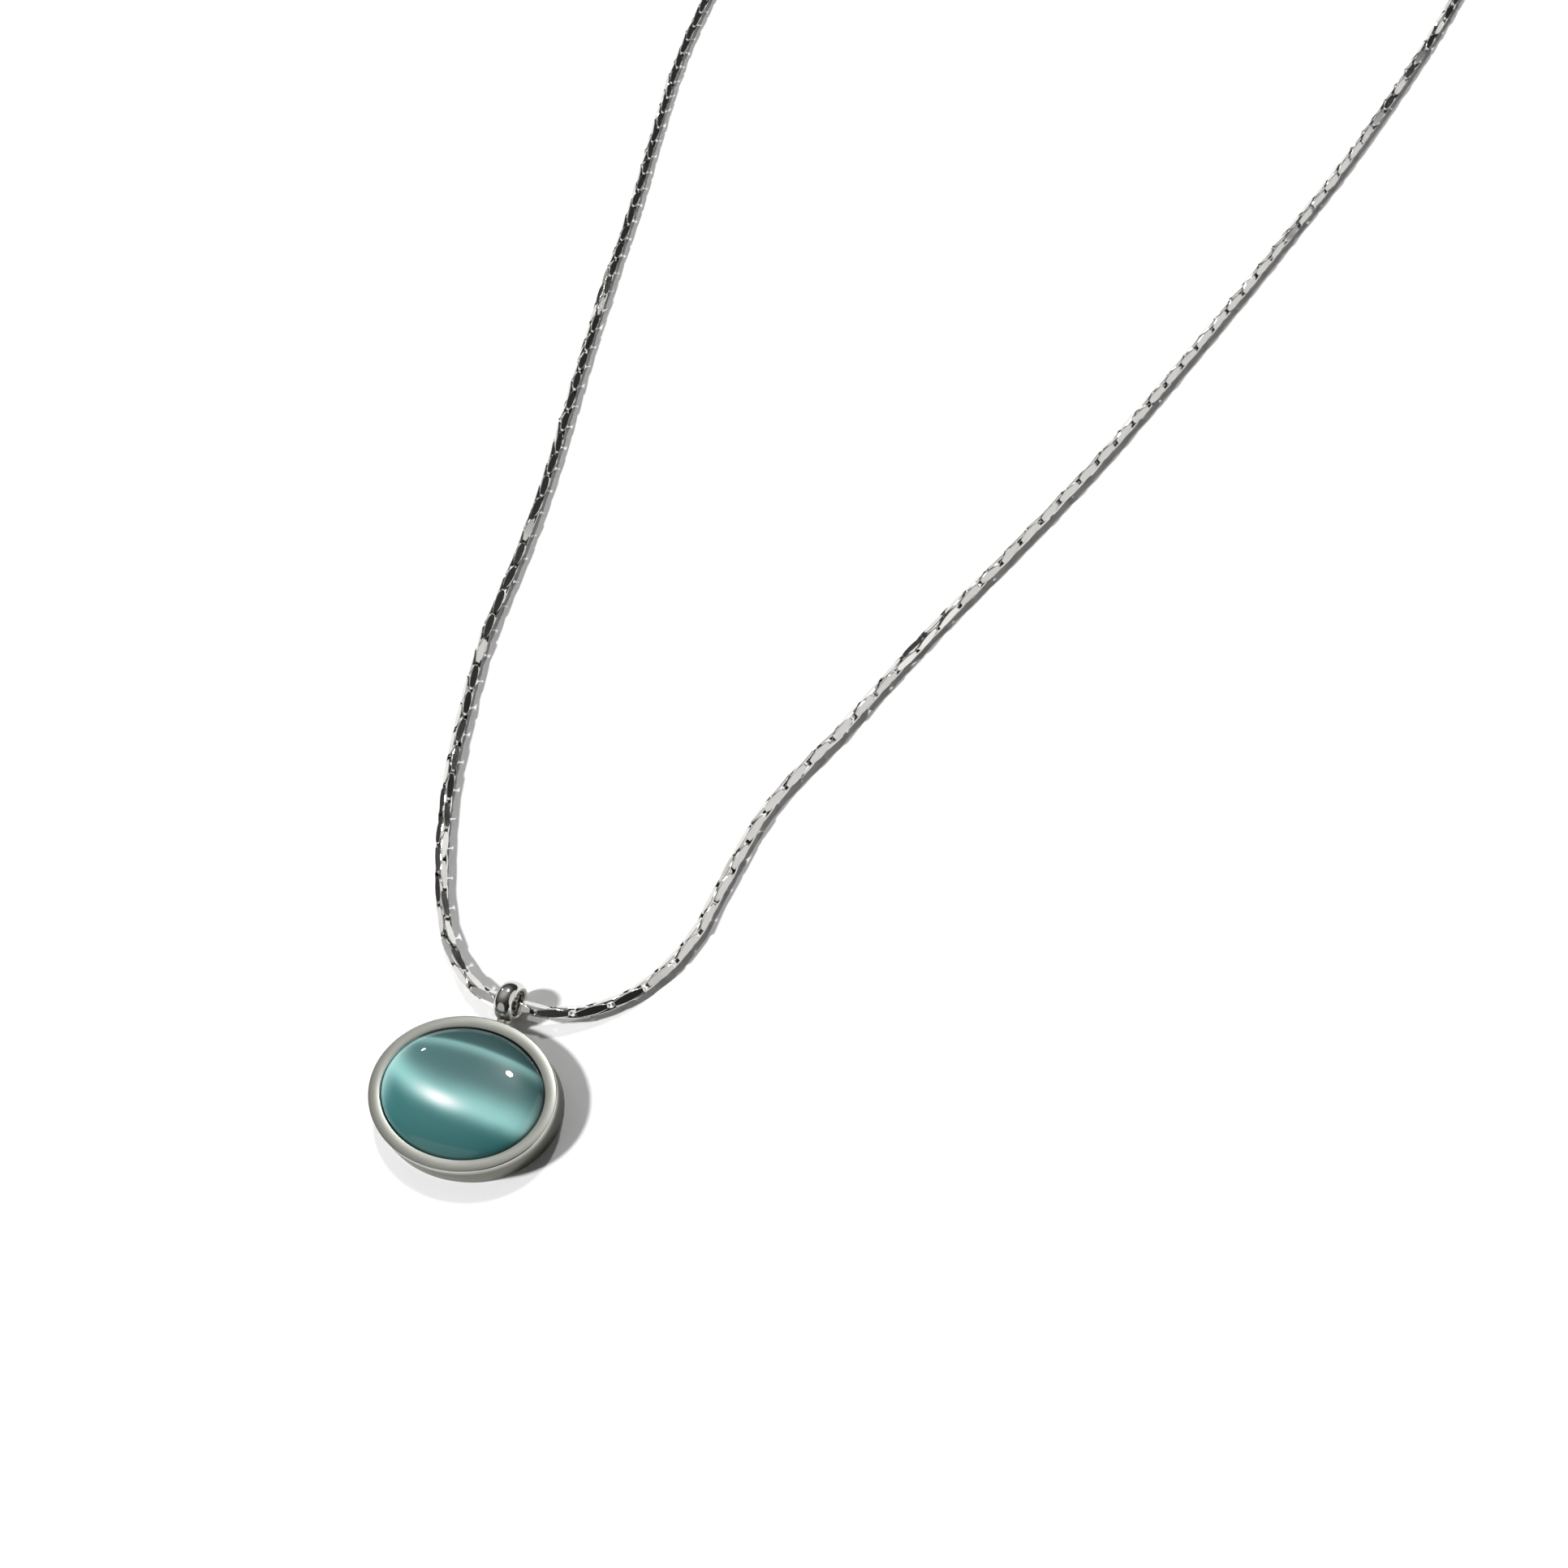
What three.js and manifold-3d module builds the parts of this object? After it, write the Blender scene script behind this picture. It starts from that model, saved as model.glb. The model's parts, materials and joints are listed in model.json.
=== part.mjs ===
// Pendant necklace: an oval cat's-eye cabochon in a steel bezel cup, hung by a fixed ring bail on a
// fine link chain that ends in a trigger clasp and an extender. Millimetres, +Z up, resting on z = 0.
// Origin: centre of the pendant's footprint. +X along the oval's long axis, +Y from the oval to the bail.

import * as THREE from "three";
import * as BufferGeometryUtils from "three/addons/utils/BufferGeometryUtils.js";
import Module from "manifold-3d";

const wasm = await Module();
wasm.setup();

// ---- Driving dimensions ------------------------------------------------------------------------

// Bezel cup
const CUP_LENGTH = 14.4;
const CUP_WIDTH = 11.5;
const CUP_HEIGHT = 2.1;
const CUP_WALL = 0.9;
const CUP_FLOOR = 0.5;
const OVAL_SIDES = 64;

// Cabochon and the adhesive under it
const STONE_CLEARANCE = 0.08;
const ADHESIVE_THICKNESS = 0.15;
const JOINT_GAP = 0.03;
const STONE_GIRDLE = 0.9;
const DOME_HEIGHT = 1.75;
const DOME_STEPS = 10;

// Ring bail, fixed to the cup's wall by a short stem
const BAIL_OUTER_R = 1.55;
const BAIL_HOLE_R = 0.95;
const BAIL_WIDTH = 1.5;
const BAIL_STANDOFF = 0.3;
const STEM_HALF_HEIGHT = 0.45;
const STEM_DROP = 0.5;

// Chain
const CHAIN_DIAMETER = 1.0;
const CHAIN_SIDES = 8;
const CHAIN_STEPS = 80;
const CHAIN_FLOOR = 0.52;
const CHAIN_IN_BAIL = 1.35;

// Jump rings and extender links, bent from round wire
const RING_WIRE = 0.5;
const RING_OUTER = 3.2;
const LINK_WIRE = 0.6;
const LINK_LENGTH = 4.6;
const LINK_WIDTH = 3.2;
const LINK_COUNT = 12;
const LINK_GAP = 0.25;
const LINK_TURN = 2.2;
const WIRE_SIDES = 8;
const BEND_STEPS = 16;

// End drop
const DROP_R = 1.5;
const DROP_LENGTH = 4.2;
const DROP_EYE_R = 0.95;

// Trigger clasp, lying flat
const CLASP_THICKNESS = 2.6;
const CLASP_EYE_R = 1.5;
const CLASP_EYE_HOLE_R = 0.9;
const CLASP_EYE_THICKNESS = 0.5;
const CLASP_EYE_LIFT = 0.12;
const CLASP_HALF_WIDTH = 2.6;
const CLASP_NOSE_X = 10.2;
const SLOT_WIDTH = 1.1;
const PIN_R = 0.35;
const PIN_CLEARANCE = 0.08;
const PIN_X = 3.6;
const PIN_Y = 0.9;
const TRIGGER_ARM_THICKNESS = 1.6;
const TANG_LOW = -0.45;
const TANG_HIGH = 0.15;
const SPRING_R = 0.62;
const SPRING_WIRE = 0.24;
const CLASP_RING_ROLL = 60;

// Where each end of the chain lies and which way it points, in millimetres and degrees
const CLASP_END = { x: -21.5, y: 181.6, heading: 22 };
const EXTENDER_END = { x: 40.2, y: 184.4, heading: 119 };

// ---- Worked out from them ----------------------------------------------------------------------

const OVAL_A = CUP_LENGTH / 2;
const OVAL_B = CUP_WIDTH / 2;
const BAIL_REACH = BAIL_STANDOFF + 2 * BAIL_OUTER_R;
const OVAL_Y = -BAIL_REACH / 2;
const BAIL_Y = OVAL_Y + OVAL_B + BAIL_STANDOFF + BAIL_OUTER_R;

// The chain's route: hand-laid points from the clasp end, round the pendant, to the extender end
const LIFT = CHAIN_IN_BAIL - CHAIN_FLOOR;
const ROUTE = [
  [CLASP_END.x, CLASP_END.y, 0.5],
  [-30.3, 177.5, 0],
  [-36.3, 169.2, 0],
  [-38.7, 158.0, 0],
  [-38.4, 146.0, 0],
  [-37.4, 133.0, 0],
  [-35.9, 121.5, 0],
  [-33.2, 108.5, 0],
  [-30.2, 95.5, 0],
  [-27.7, 83.0, 0],
  [-24.6, 68.8, 0],
  [-21.9, 57.0, 0],
  [-20.0, 46.5, 0],
  [-18.8, 37.7, 0],
  [-16.9, 30.0, 0],
  [-14.7, 23.0, 0],
  [-12.0, 16.6, 0],
  [-8.9, 11.2, 0],
  [-5.8, 7.8, 0.25],
  [-2.8, 6.15, 0.75],
  [0, BAIL_Y, LIFT],
  [2.8, 6.05, 0.75],
  [5.8, 7.4, 0.25],
  [8.6, 10.2, 0],
  [10.6, 14.8, 0],
  [11.15, 20.5, 0],
  [12.0, 27.8, 0],
  [14.8, 35.5, 0],
  [18.6, 46.5, 0],
  [23.0, 58.0, 0],
  [27.4, 70.0, 0],
  [31.6, 83.5, 0],
  [36.0, 98.5, 0],
  [40.0, 113.0, 0],
  [43.3, 127.5, 0],
  [46.2, 142.5, 0],
  [47.5, 154.0, 0],
  [47.2, 165.0, 0],
  [44.8, 175.4, 0],
  [EXTENDER_END.x, EXTENDER_END.y, 0.5],
];

// ---- Materials ---------------------------------------------------------------------------------

function finish(color, roughness, metalness) {
  return new THREE.MeshStandardMaterial({ color, roughness, metalness });
}

const SATIN_STEEL = finish(0xb4b3aa, 0.35, 1.0);
const POLISHED_STEEL = finish(0xc4c4c0, 0.12, 1.0);
const CHAIN_STEEL = finish(0xbdbdb8, 0.18, 1.0);
const CATS_EYE_GLASS = finish(0x4f9a9b, 0.08, 0.0);
const ADHESIVE = finish(0xd8d6c8, 0.5, 0.0);
const SPRING_STEEL = finish(0x8f8f8c, 0.3, 1.0);

// ---- Helpers -----------------------------------------------------------------------------------

const radians = THREE.MathUtils.degToRad;

function mesh(name, geometry, material) {
  const piece = new THREE.Mesh(geometry, material);
  piece.name = name;
  return piece;
}

function toSolid(geometry) {
  const bare = geometry.clone();
  bare.deleteAttribute("normal");
  bare.deleteAttribute("uv");
  const merged = BufferGeometryUtils.mergeVertices(bare, 1e-5);
  return new wasm.Manifold(new wasm.Mesh({
    numProp: 3,
    vertProperties: new Float32Array(merged.attributes.position.array),
    triVerts: new Uint32Array(merged.index.array),
  }));
}

function toGeometry(solid) {
  const result = solid.getMesh();
  const geometry = new THREE.BufferGeometry();
  geometry.setAttribute("position", new THREE.BufferAttribute(result.vertProperties, 3));
  geometry.setIndex(new THREE.BufferAttribute(result.triVerts, 1));
  return geometry;
}

// A flat-ended prism of a shape, from z = low to z = high
function prism(shape, low, high, curveSegments = 12) {
  const geometry = new THREE.ExtrudeGeometry(shape, {
    depth: high - low,
    bevelEnabled: false,
    curveSegments,
  });
  return geometry.translate(0, 0, low);
}

function ovalPrism(halfLength, halfWidth, low, high) {
  const oval = new THREE.Shape().absellipse(0, 0, halfLength, halfWidth, 0, 2 * Math.PI);
  return prism(oval, low, high, OVAL_SIDES / 2);
}

// A body turned about +Z from [radius, height] points that start and end on the axis
function turned(profile, sides) {
  const points = profile.map(([radius, height]) => new THREE.Vector2(radius, height));
  return new THREE.LatheGeometry(points, sides).rotateX(Math.PI / 2);
}

function upright(radius, low, high, sides = 16) {
  return turned([[0, low], [radius, low], [radius, high], [0, high]], sides);
}

// A closed wire loop in the XY plane: a ring, drawn out along X into a link when length > width
function wireLoop(length, width, wire) {
  const ringR = (width - wire) / 2;
  const stretch = (length - width) / 2;
  const geometry = new THREE.TorusGeometry(ringR, wire / 2, WIRE_SIDES, BEND_STEPS);
  geometry.rotateZ(Math.PI / BEND_STEPS);
  const position = geometry.attributes.position;
  for (let i = 0; i < position.count; i++) {
    const x = position.getX(i);
    position.setX(i, x + Math.sign(x) * stretch);
  }
  return geometry;
}

// Height of a loop's centre when it lies on the floor, rolled by an angle about its length
function loopHeight(width, wire, roll) {
  return (width - wire) / 2 * Math.abs(Math.sin(radians(roll))) + wire / 2;
}

// ---- Pendant -----------------------------------------------------------------------------------

function bezelCup() {
  const outer = toSolid(ovalPrism(OVAL_A, OVAL_B, 0, CUP_HEIGHT));
  const well = toSolid(ovalPrism(
    OVAL_A - CUP_WALL, OVAL_B - CUP_WALL, CUP_FLOOR, CUP_HEIGHT + 1));
  return toGeometry(outer.subtract(well));
}

function adhesivePad() {
  const low = CUP_FLOOR + JOINT_GAP;
  const inset = CUP_WALL + 2 * STONE_CLEARANCE;
  return ovalPrism(OVAL_A - inset, OVAL_B - inset, low, low + ADHESIVE_THICKNESS);
}

// A low dome on an upright girdle, turned once and then drawn out into the oval
function cabochon() {
  const base = CUP_FLOOR + ADHESIVE_THICKNESS + 2 * JOINT_GAP;
  const profile = [[0, base], [1, base], [1, base + STONE_GIRDLE]];
  for (let i = 1; i <= DOME_STEPS; i++) {
    const angle = (Math.PI / 2) * (i / DOME_STEPS);
    const radius = i === DOME_STEPS ? 0 : Math.cos(angle);
    profile.push([radius, base + STONE_GIRDLE + DOME_HEIGHT * Math.sin(angle)]);
  }
  const inset = CUP_WALL + STONE_CLEARANCE;
  return turned(profile, 48).scale(OVAL_A - inset, OVAL_B - inset, 1);
}

// Side view of the bail: a ring whose underside runs into a stem, drawn in the YZ plane
function bail() {
  const stemEnd = JOINT_GAP + 0.03 - BAIL_STANDOFF - BAIL_OUTER_R;
  const [upperAngle, lowerAngle] = [radians(155), radians(232)];
  const side = new THREE.Shape();
  side.moveTo(stemEnd, STEM_HALF_HEIGHT - STEM_DROP);
  side.lineTo(BAIL_OUTER_R * Math.cos(upperAngle), BAIL_OUTER_R * Math.sin(upperAngle));
  side.absarc(0, 0, BAIL_OUTER_R, upperAngle, lowerAngle, true);
  side.lineTo(stemEnd, -STEM_HALF_HEIGHT - STEM_DROP);
  side.closePath();
  const plate = toSolid(prism(side, -BAIL_WIDTH / 2, BAIL_WIDTH / 2, 24));
  const hole = toSolid(upright(BAIL_HOLE_R, -BAIL_WIDTH, BAIL_WIDTH, 32));
  // The side view's x becomes +Y and its y becomes +Z
  return toGeometry(plate.subtract(hole)).rotateX(Math.PI / 2).rotateZ(Math.PI / 2);
}

function pendant() {
  const group = new THREE.Group();
  const setting = new THREE.Group();
  setting.position.set(0, OVAL_Y, 0);
  setting.add(mesh("bezel_cup", bezelCup(), SATIN_STEEL));
  setting.add(mesh("adhesive_pad", adhesivePad(), ADHESIVE));
  setting.add(mesh("cabochon", cabochon(), CATS_EYE_GLASS));
  group.add(setting);
  const ring = mesh("bail", bail(), POLISHED_STEEL);
  ring.position.set(0, BAIL_Y, BAIL_OUTER_R);
  group.add(ring);
  return group;
}

// ---- Chain -------------------------------------------------------------------------------------

function chain() {
  const points = ROUTE.map(([x, y, lift]) => new THREE.Vector3(x, y, CHAIN_FLOOR + lift));
  const section = new THREE.Shape();
  for (let i = 0; i < CHAIN_SIDES; i++) {
    const angle = (i + 0.5) * 2 * Math.PI / CHAIN_SIDES;
    const [x, y] = [Math.cos(angle), Math.sin(angle)].map((c) => c * CHAIN_DIAMETER / 2);
    if (i === 0) section.moveTo(x, y);
    else section.lineTo(x, y);
  }
  return new THREE.ExtrudeGeometry(section, {
    steps: CHAIN_STEPS,
    bevelEnabled: false,
    extrudePath: new THREE.CatmullRomCurve3(points, false, "centripetal"),
  });
}

// ---- Clasp -------------------------------------------------------------------------------------

// The clasp's own frame: eye at the origin, nose along +X, trigger on the +Y side, middle at z = 0
function claspOutline() {
  const outline = new THREE.Shape();
  outline.moveTo(1.0, 0.75);
  outline.bezierCurveTo(2.2, 1.2, 2.6, CLASP_HALF_WIDTH, 5.2, CLASP_HALF_WIDTH);
  outline.bezierCurveTo(8.2, CLASP_HALF_WIDTH, CLASP_NOSE_X, 1.9, CLASP_NOSE_X, 0);
  outline.bezierCurveTo(CLASP_NOSE_X, -1.9, 8.2, -CLASP_HALF_WIDTH, 5.2, -CLASP_HALF_WIDTH);
  outline.bezierCurveTo(2.6, -CLASP_HALF_WIDTH, 2.2, -1.2, 1.0, -0.75);
  outline.closePath();
  return outline;
}

// The way in past the trigger, between the housing and the hook's tip
function mouthOutline() {
  const mouth = new THREE.Shape();
  mouth.moveTo(4.9, 0.2);
  mouth.lineTo(7.6, 0.2);
  mouth.lineTo(8.5, 1.2);
  mouth.lineTo(9.0, 3.2);
  mouth.lineTo(5.0, 3.2);
  mouth.closePath();
  return mouth;
}

function claspBody() {
  const half = CLASP_THICKNESS / 2;
  const eyeHalf = CLASP_EYE_THICKNESS / 2;
  const eyeHole = upright(CLASP_EYE_HOLE_R, -eyeHalf - 1, eyeHalf + 1);
  const slot = new THREE.Shape();
  slot.moveTo(2.3, -0.5);
  slot.lineTo(6.0, -0.5);
  slot.lineTo(6.0, 3.2);
  slot.lineTo(2.3, 3.2);
  slot.closePath();
  const opening = new THREE.Shape().absellipse(6.9, -0.1, 2.2, 1.5, 0, 2 * Math.PI);
  const solid = toSolid(prism(claspOutline(), -half, half, 10))
    .add(toSolid(upright(CLASP_EYE_R, CLASP_EYE_LIFT - eyeHalf, CLASP_EYE_LIFT + eyeHalf, 24)))
    .subtract(toSolid(eyeHole))
    .subtract(toSolid(prism(opening, -half - 1, half + 1, 14)))
    .subtract(toSolid(prism(mouthOutline(), -half - 1, half + 1)))
    .subtract(toSolid(prism(slot, -SLOT_WIDTH / 2, SLOT_WIDTH / 2)))
    .subtract(toSolid(upright(PIN_R + PIN_CLEARANCE, -half - 1, half + 1)
      .translate(PIN_X, PIN_Y, 0)));
  return toGeometry(solid);
}

// A thin tang on the pin inside the housing, and a thicker arm that closes the mouth
function trigger() {
  const tang = new THREE.Shape();
  tang.absarc(PIN_X, PIN_Y, 0.95, radians(120), radians(290), false);
  tang.lineTo(5.6, 0.5);
  tang.lineTo(5.6, 1.9);
  tang.lineTo(4.9, 2.3);
  tang.lineTo(4.9, 3.3);
  tang.lineTo(4.1, 3.3);
  tang.closePath();
  const arm = new THREE.Shape();
  arm.moveTo(5.3, 0.5);
  arm.lineTo(7.7, 0.5);
  arm.lineTo(8.2, 1.1);
  arm.lineTo(7.9, 1.9);
  arm.lineTo(5.3, 2.2);
  arm.closePath();
  const reach = TRIGGER_ARM_THICKNESS / 2;
  const solid = toSolid(prism(tang, TANG_LOW, TANG_HIGH, 16))
    .add(toSolid(prism(arm, -reach, reach)))
    .subtract(toSolid(upright(PIN_R + PIN_CLEARANCE, -2, 2).translate(PIN_X, PIN_Y, 0)));
  return toGeometry(solid);
}

function clasp() {
  const group = new THREE.Group();
  group.position.set(CLASP_END.x, CLASP_END.y, 0);
  group.rotation.z = radians(CLASP_END.heading);

  const ringX = LINK_GAP + RING_OUTER / 2;
  const ring = mesh("clasp_ring", wireLoop(RING_OUTER, RING_OUTER, RING_WIRE), POLISHED_STEEL);
  ring.position.set(ringX, 0, loopHeight(RING_OUTER, RING_WIRE, CLASP_RING_ROLL));
  ring.rotation.x = radians(CLASP_RING_ROLL);
  group.add(ring);

  const body = new THREE.Group();
  const eyeX = ringX + RING_OUTER / 2 - RING_WIRE - LINK_GAP + CLASP_EYE_HOLE_R;
  body.position.set(eyeX, 0, CLASP_THICKNESS / 2);
  const half = CLASP_THICKNESS / 2;
  const pin = upright(PIN_R, 0.1 - half, half - 0.1);
  const spring = new THREE.TorusGeometry(SPRING_R, SPRING_WIRE / 2, 6, 16);
  body.add(mesh("clasp_body", claspBody(), POLISHED_STEEL));
  body.add(mesh("clasp_trigger", trigger(), POLISHED_STEEL));
  body.add(mesh("clasp_pin", pin.translate(PIN_X, PIN_Y, 0), POLISHED_STEEL));
  const springZ = (TANG_HIGH + SLOT_WIDTH / 2) / 2;
  body.add(mesh("clasp_spring", spring.translate(PIN_X, PIN_Y, springZ), SPRING_STEEL));
  group.add(body);
  return group;
}

// ---- Extender ----------------------------------------------------------------------------------

// A drop-shaped bead with a wire eye, its eye at the origin and its tip along +X
function endDrop() {
  const bead = [[0, 0]];
  const steps = 10;
  for (let i = 1; i < steps; i++) {
    const angle = Math.PI * i / steps;
    const taper = 0.55 + 0.45 * Math.sin(angle / 2);
    bead.push([DROP_R * Math.sin(angle) * taper, DROP_LENGTH * (1 - Math.cos(angle)) / 2]);
  }
  bead.push([0, DROP_LENGTH]);
  const eye = new THREE.TorusGeometry(DROP_EYE_R, RING_WIRE / 2, WIRE_SIDES, BEND_STEPS);
  const body = turned(bead, 20).rotateY(Math.PI / 2).translate(DROP_EYE_R, 0, 0);
  return toGeometry(toSolid(eye).add(toSolid(body)));
}

function extender() {
  const group = new THREE.Group();
  group.position.set(EXTENDER_END.x, EXTENDER_END.y, 0);
  group.rotation.z = radians(EXTENDER_END.heading);

  // Each piece hangs in the one before it, rolled the other way and turned a little further
  const place = new THREE.Vector3(LINK_GAP, 0, 0);
  let heading = 0;
  let roll = 45;
  const hang = (name, geometry, material, reach, height) => {
    const piece = mesh(name, geometry, material);
    place.x += reach * Math.cos(heading);
    place.y += reach * Math.sin(heading);
    piece.position.set(place.x, place.y, height);
    piece.rotation.set(radians(roll), 0, heading, "ZYX");
    group.add(piece);
    roll = -roll;
  };

  const ringHeight = loopHeight(RING_OUTER, RING_WIRE, roll);
  const ringLoop = wireLoop(RING_OUTER, RING_OUTER, RING_WIRE);
  hang("extender_ring", ringLoop, POLISHED_STEEL, RING_OUTER / 2, ringHeight);
  const linkHeight = loopHeight(LINK_WIDTH, LINK_WIRE, roll);
  const halfInside = LINK_LENGTH / 2 - LINK_WIRE;
  let halfBefore = RING_OUTER / 2 - RING_WIRE;
  for (let i = 1; i <= LINK_COUNT; i++) {
    heading += radians(LINK_TURN);
    const name = `extender_link_${String(i).padStart(2, "0")}`;
    const reach = halfBefore + halfInside - LINK_GAP;
    hang(name, wireLoop(LINK_LENGTH, LINK_WIDTH, LINK_WIRE), POLISHED_STEEL, reach, linkHeight);
    halfBefore = halfInside;
  }
  heading += radians(LINK_TURN);
  const eyeInside = DROP_EYE_R - RING_WIRE / 2;
  hang("extender_drop", endDrop(), POLISHED_STEEL, halfBefore + eyeInside - LINK_GAP, DROP_R);
  return group;
}

// ---- Necklace ----------------------------------------------------------------------------------

const necklace = new THREE.Group();
necklace.add(pendant());
necklace.add(mesh("chain", chain(), CHAIN_STEEL));
necklace.add(clasp());
necklace.add(extender());

export default necklace;
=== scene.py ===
import json
import math

import bmesh
import bpy
from mathutils import Matrix, Vector


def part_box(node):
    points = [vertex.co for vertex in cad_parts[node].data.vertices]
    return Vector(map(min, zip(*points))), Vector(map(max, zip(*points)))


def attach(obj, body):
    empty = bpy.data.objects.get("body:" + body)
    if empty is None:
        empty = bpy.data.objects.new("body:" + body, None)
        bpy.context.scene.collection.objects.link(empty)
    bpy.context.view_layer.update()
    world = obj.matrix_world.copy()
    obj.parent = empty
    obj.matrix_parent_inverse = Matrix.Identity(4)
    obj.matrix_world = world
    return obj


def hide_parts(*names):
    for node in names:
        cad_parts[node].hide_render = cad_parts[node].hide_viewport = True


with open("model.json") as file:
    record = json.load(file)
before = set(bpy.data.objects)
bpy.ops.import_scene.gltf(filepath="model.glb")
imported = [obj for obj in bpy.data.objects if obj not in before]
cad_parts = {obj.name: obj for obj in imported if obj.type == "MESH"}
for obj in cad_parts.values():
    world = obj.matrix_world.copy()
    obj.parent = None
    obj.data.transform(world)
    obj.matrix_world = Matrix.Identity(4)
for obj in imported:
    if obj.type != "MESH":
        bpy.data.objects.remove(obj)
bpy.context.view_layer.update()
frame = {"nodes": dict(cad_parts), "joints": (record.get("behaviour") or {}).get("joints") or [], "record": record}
MM = 0.001
PIVOTS = {joint["child"]: Vector(joint["pos_m"]) for joint in frame["joints"]}

# ---- Sizes, in metres, beyond those the frame gives --------------------------------------------

CHAIN_FLOOR = 0.52 * MM
CHAIN_IN_BAIL = 1.35 * MM
LINK_PITCH = 1.4 * MM
LINK_LENGTH = 2.72 * MM
LINK_NOSE = 0.22 * MM
LINK_HALF_HEIGHT = 0.4 * MM
LINK_STRIP = 0.17 * MM
LINK_MID_HALF_WIDTH = 0.345 * MM
LINK_TIP_HALF_WIDTH = 0.10 * MM
LINK_TWIST = math.radians(70)
LINK_JITTER = math.radians(4.5)
LINK_SEED = 7
END_RING_WIRE = 0.28 * MM
END_RING_BACK = 0.87 * MM
END_RING_AHEAD = 0.96 * MM
LINKS_STOP = 1.94 * MM

CUP_WALL = 0.9 * MM
CUP_FLOOR = 0.5 * MM
EDGE_BREAK = 0.09 * MM
CAP_INSET = 2.5 * MM
CROWN_STEPS = 26
STONE_SIDES = 96
STONE_GIRDLE = 1.15 * MM
FILL = 1.009
GIRDLE_BREAK = 0.004
BAIL_HOLE = 0.95 * MM
BAIL_OUTER = 1.55 * MM
BAIL_HALF_WIDTH = 0.72 * MM
BAIL_SHOULDER = 1.12 * MM
STEM_DROP = 0.5 * MM
RING_WIRE = 0.5 * MM
CLASP_RING_WIRE = 0.49 * MM
EYE_AHEAD = 0.775 * MM
EYE_SPAN = 1.1 * MM
RING_OUTER = 3.2 * MM
LINK_WIRE = 0.6 * MM
EXTENDER_LINK = (4.6 * MM, 3.2 * MM)
ROLL = math.radians(45)
CLASP_RING_ROLL = math.radians(60)

# ---- Camera ------------------------------------------------------------------------------------

CAMERA_PLACE = Vector((50.8, -29.2, 102.1)) * MM
CAMERA_TARGET = Vector((12.2, 30.2, 0.0)) * MM
CAMERA_ROLL = math.radians(-14.6)


def make_camera():
    data = bpy.data.cameras.new("studio_camera")
    data.lens = 36
    data.sensor_width = 36
    data.clip_start = 5 * MM
    data.clip_end = 10
    camera = bpy.data.objects.new("studio_camera", data)
    bpy.context.scene.collection.objects.link(camera)
    look = (CAMERA_TARGET - CAMERA_PLACE).to_track_quat("-Z", "Y").to_matrix().to_4x4()
    camera.matrix_world = (
        Matrix.Translation(CAMERA_PLACE) @ look @ Matrix.Rotation(CAMERA_ROLL, 4, "Z"))
    bpy.context.scene.camera = camera


make_camera()

# ---- Shader building ---------------------------------------------------------------------------


class Number:
    """A number socket of a material. Sums written with it add Math nodes to that material."""

    def __init__(self, shader, socket):
        self.shader = shader
        self.socket = socket

    def math(self, operation, *others):
        node = self.shader.add("ShaderNodeMath", {"operation": operation}, {
            i: value for i, value in enumerate((self, *others))})
        return Number(self.shader, node.outputs[0])

    def __add__(self, other):
        return self.math("ADD", other)

    def __radd__(self, other):
        return self.math("ADD", other)

    def __sub__(self, other):
        return self.math("SUBTRACT", other)

    def __rsub__(self, other):
        return self.shader.number(other).math("SUBTRACT", self)

    def __mul__(self, other):
        return self.math("MULTIPLY", other)

    def __rmul__(self, other):
        return self.math("MULTIPLY", other)

    def __truediv__(self, other):
        return self.math("DIVIDE", other)

    def __neg__(self):
        return self.math("MULTIPLY", -1)

    def clamp(self):
        return self.math("MAXIMUM", 0).math("MINIMUM", 1)

    def bell(self, width):
        """1 where this number is 0, falling off to each side like a bell of that width."""
        scaled = self * (1 / width)
        return (-(scaled * scaled)).math("EXPONENT")


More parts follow.
